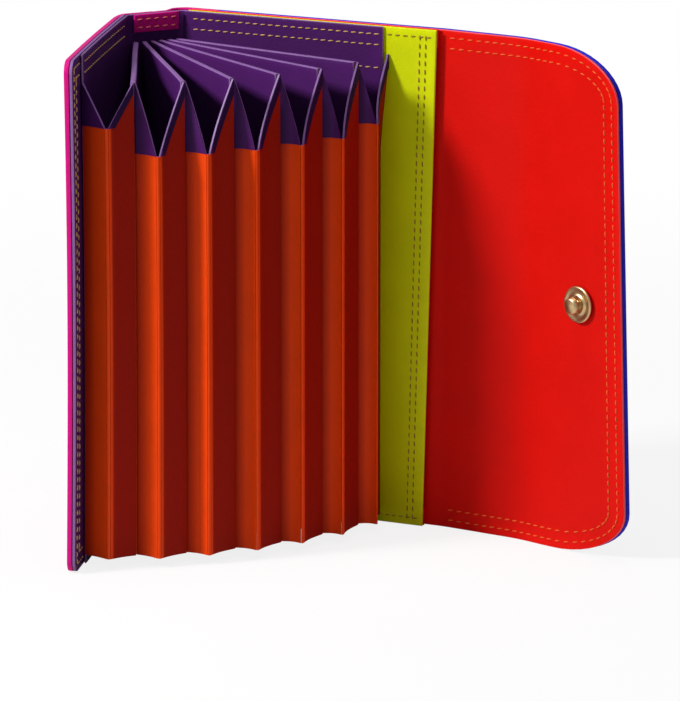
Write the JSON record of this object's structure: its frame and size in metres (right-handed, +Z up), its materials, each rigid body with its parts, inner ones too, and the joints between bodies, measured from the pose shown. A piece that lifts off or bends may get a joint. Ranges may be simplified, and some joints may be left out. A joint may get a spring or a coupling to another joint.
{
  "type": "accordion card holder",
  "caption": "Upright leather card holder standing open: card pockets fan out between cover and back on folded gussets, with a slip pocket and a press-stud flap.",
  "frame": {"origin": "centre of the footprint on the surface that the open holder stands on", "axes": "+Z up along the folds, +X along the back from spine to flap, -Y towards the open pockets"},
  "size_m": [0.1182, 0.0702, 0.11],
  "materials": {
    "purple_leather": "soft smooth leather",
    "orange_leather": "soft smooth leather",
    "lime_leather": "soft smooth leather",
    "red_leather": "soft smooth leather",
    "blue_leather": "soft smooth leather",
    "magenta_leather": "soft smooth leather",
    "stud_metal": "polished, warm"
  },
  "bodies": {
    "back": {"accordion_back_wall": "purple_leather", "slip_panel": "lime_leather", "slip_welt_bottom": "red_leather", "slip_welt_top": "red_leather", "back_lining": "red_leather", "back_outer": "blue_leather"},
    "spine": {"spine_lining": "purple_leather", "spine_outer": "magenta_leather", "spine_top_hem": "magenta_leather"},
    "cover": {"accordion_front_wall": "purple_leather", "cover_lining": "purple_leather", "cover_outer": "magenta_leather", "stud_socket": "stud_metal"},
    "flap_side": {"flap_side_lining": "red_leather", "flap_side_outer": "blue_leather"},
    "flap_front": {"flap_front_lining": "red_leather", "flap_front_outer": "blue_leather", "stud_base": "stud_metal", "stud_knob": "stud_metal"},
    "divider_1": {"divider_1": "purple_leather"},
    "divider_2": {"divider_2": "purple_leather"},
    "divider_3": {"divider_3": "purple_leather"},
    "divider_4": {"divider_4": "purple_leather"},
    "divider_5": {"divider_5": "purple_leather"},
    "divider_6": {"divider_6": "purple_leather"},
    "gusset_left_1": {"gusset_left_1": "orange_leather"},
    "gusset_right_1": {"gusset_right_1": "orange_leather"},
    "gusset_left_2": {"gusset_left_2": "orange_leather"},
    "gusset_right_2": {"gusset_right_2": "orange_leather"},
    "gusset_left_3": {"gusset_left_3": "orange_leather"},
    "gusset_right_3": {"gusset_right_3": "orange_leather"},
    "gusset_left_4": {"gusset_left_4": "orange_leather"},
    "gusset_right_4": {"gusset_right_4": "orange_leather"},
    "gusset_left_5": {"gusset_left_5": "orange_leather"},
    "gusset_right_5": {"gusset_right_5": "orange_leather"},
    "gusset_left_6": {"gusset_left_6": "orange_leather"},
    "gusset_right_6": {"gusset_right_6": "orange_leather"},
    "gusset_left_7": {"gusset_left_7": "orange_leather"},
    "gusset_right_7": {"gusset_right_7": "orange_leather"}
  },
  "joints": [
    {"name": "spine_fold", "type": "hinge", "parent": "back", "child": "spine", "pos_m": [-0.04889, 0.03078, 0.055], "axis": [0, 0, 1], "range_deg": [-7.5, 37.5]},
    {"name": "cover_fold", "type": "hinge", "parent": "spine", "child": "cover", "pos_m": [-0.05668, 0.02063, 0.055], "axis": [0, 0, 1], "range_deg": [-7.55, 37.55]},
    {"name": "divider_1_turn", "type": "hinge", "parent": "spine", "child": "divider_1", "pos_m": [-0.05524, 0.02128, 0.055], "axis": [0, 0, 1], "range_deg": [-5.41, 26.84]},
    {"name": "divider_2_turn", "type": "hinge", "parent": "spine", "child": "divider_2", "pos_m": [-0.05402, 0.02287, 0.055], "axis": [0, 0, 1], "range_deg": [-3.26, 16.12]},
    {"name": "divider_3_turn", "type": "hinge", "parent": "spine", "child": "divider_3", "pos_m": [-0.0528, 0.02445, 0.055], "axis": [0, 0, 1], "range_deg": [-1.12, 5.41]},
    {"name": "divider_4_turn", "type": "hinge", "parent": "spine", "child": "divider_4", "pos_m": [-0.05158, 0.02604, 0.055], "axis": [0, 0, 1], "range_deg": [-5.41, 1.12]},
    {"name": "divider_5_turn", "type": "hinge", "parent": "spine", "child": "divider_5", "pos_m": [-0.05037, 0.02763, 0.055], "axis": [0, 0, 1], "range_deg": [-16.12, 3.26]},
    {"name": "divider_6_turn", "type": "hinge", "parent": "spine", "child": "divider_6", "pos_m": [-0.04915, 0.02921, 0.055], "axis": [0, 0, 1], "range_deg": [-26.84, 5.41]},
    {"name": "gusset_1_root_fold", "type": "hinge", "parent": "cover", "child": "gusset_left_1", "pos_m": [-0.0442, -0.02598, 0.055], "axis": [0, 0, 1], "range_deg": [-62.1, 12.46]},
    {"name": "gusset_1_outer_fold", "type": "hinge", "parent": "gusset_left_1", "child": "gusset_right_1", "pos_m": [-0.03826, -0.02694, 0.055], "axis": [0, 0, 1], "range_deg": [-20.89, 104.22]},
    {"name": "gusset_2_root_fold", "type": "hinge", "parent": "divider_1", "child": "gusset_left_2", "pos_m": [-0.03409, -0.02126, 0.055], "axis": [0, 0, 1], "range_deg": [-58.66, 11.77]},
    {"name": "gusset_2_outer_fold", "type": "hinge", "parent": "gusset_left_2", "child": "gusset_right_2", "pos_m": [-0.02808, -0.02145, 0.055], "axis": [0, 0, 1], "range_deg": [-19.6, 97.78]},
    {"name": "gusset_3_root_fold", "type": "hinge", "parent": "divider_2", "child": "gusset_left_3", "pos_m": [-0.02533, -0.015, 0.055], "axis": [0, 0, 1], "range_deg": [-57.14, 11.47]},
    {"name": "gusset_3_outer_fold", "type": "hinge", "parent": "gusset_left_3", "child": "gusset_right_3", "pos_m": [-0.01937, -0.01423, 0.055], "axis": [0, 0, 1], "range_deg": [-19.86, 99.09]},
    {"name": "gusset_4_root_fold", "type": "hinge", "parent": "divider_3", "child": "gusset_left_4", "pos_m": [-0.01758, -0.00742, 0.055], "axis": [0, 0, 1], "range_deg": [-55.15, 11.07]},
    {"name": "gusset_4_outer_fold", "type": "hinge", "parent": "gusset_left_4", "child": "gusset_right_4", "pos_m": [-0.0118, -0.00575, 0.055], "axis": [0, 0, 1], "range_deg": [-19.95, 99.53]},
    {"name": "gusset_5_root_fold", "type": "hinge", "parent": "divider_4", "child": "gusset_left_5", "pos_m": [-0.01105, 0.00128, 0.055], "axis": [0, 0, 1], "range_deg": [-52.72, 10.58]},
    {"name": "gusset_5_outer_fold", "type": "hinge", "parent": "gusset_left_5", "child": "gusset_right_5", "pos_m": [-0.00557, 0.00375, 0.055], "axis": [0, 0, 1], "range_deg": [-19.86, 99.09]},
    {"name": "gusset_6_root_fold", "type": "hinge", "parent": "divider_5", "child": "gusset_left_6", "pos_m": [-0.00593, 0.01083, 0.055], "axis": [0, 0, 1], "range_deg": [-49.89, 10.02]},
    {"name": "gusset_6_outer_fold", "type": "hinge", "parent": "gusset_left_6", "child": "gusset_right_6", "pos_m": [-0.00085, 0.01404, 0.055], "axis": [0, 0, 1], "range_deg": [-19.6, 97.78]},
    {"name": "gusset_7_root_fold", "type": "hinge", "parent": "divider_6", "child": "gusset_left_7", "pos_m": [-0.00237, 0.02097, 0.055], "axis": [0, 0, 1], "range_deg": [-52.88, 10.62]},
    {"name": "gusset_7_outer_fold", "type": "hinge", "parent": "gusset_left_7", "child": "gusset_right_7", "pos_m": [0.00182, 0.02529, 0.055], "axis": [0, 0, 1], "range_deg": [-20.89, 104.22]},
    {"name": "flap_side_fold", "type": "hinge", "parent": "back", "child": "flap_side", "pos_m": [0.01261, 0.03328, 0.055], "axis": [0, 0, -1], "range_deg": [-7, 80]},
    {"name": "flap_front_fold", "type": "hinge", "parent": "flap_side", "child": "flap_front", "pos_m": [0.03196, 0.0309, 0.055], "axis": [0, 0, -1], "range_deg": [-15, 30]}
  ],
  "couplings": [
    {"joint": "cover_fold", "follows": "spine_fold", "ratio": 1},
    {"joint": "divider_1_turn", "follows": "spine_fold", "ratio": 0.71429},
    {"joint": "divider_2_turn", "follows": "spine_fold", "ratio": 0.42857},
    {"joint": "divider_3_turn", "follows": "spine_fold", "ratio": 0.14286},
    {"joint": "divider_4_turn", "follows": "spine_fold", "ratio": -0.14286},
    {"joint": "divider_5_turn", "follows": "spine_fold", "ratio": -0.42857},
    {"joint": "divider_6_turn", "follows": "spine_fold", "ratio": -0.71429},
    {"joint": "gusset_1_root_fold", "follows": "spine_fold", "ratio": -1.6548},
    {"joint": "gusset_1_outer_fold", "follows": "spine_fold", "ratio": 2.7779},
    {"joint": "gusset_2_root_fold", "follows": "spine_fold", "ratio": -1.5628},
    {"joint": "gusset_2_outer_fold", "follows": "spine_fold", "ratio": 2.6062},
    {"joint": "gusset_3_root_fold", "follows": "spine_fold", "ratio": -1.5223},
    {"joint": "gusset_3_outer_fold", "follows": "spine_fold", "ratio": 2.6411},
    {"joint": "gusset_4_root_fold", "follows": "spine_fold", "ratio": -1.4693},
    {"joint": "gusset_4_outer_fold", "follows": "spine_fold", "ratio": 2.6529},
    {"joint": "gusset_5_root_fold", "follows": "spine_fold", "ratio": -1.4045},
    {"joint": "gusset_5_outer_fold", "follows": "spine_fold", "ratio": 2.6411},
    {"joint": "gusset_6_root_fold", "follows": "spine_fold", "ratio": -1.3291},
    {"joint": "gusset_6_outer_fold", "follows": "spine_fold", "ratio": 2.6062},
    {"joint": "gusset_7_root_fold", "follows": "spine_fold", "ratio": -1.4089},
    {"joint": "gusset_7_outer_fold", "follows": "spine_fold", "ratio": 2.7779}
  ]
}
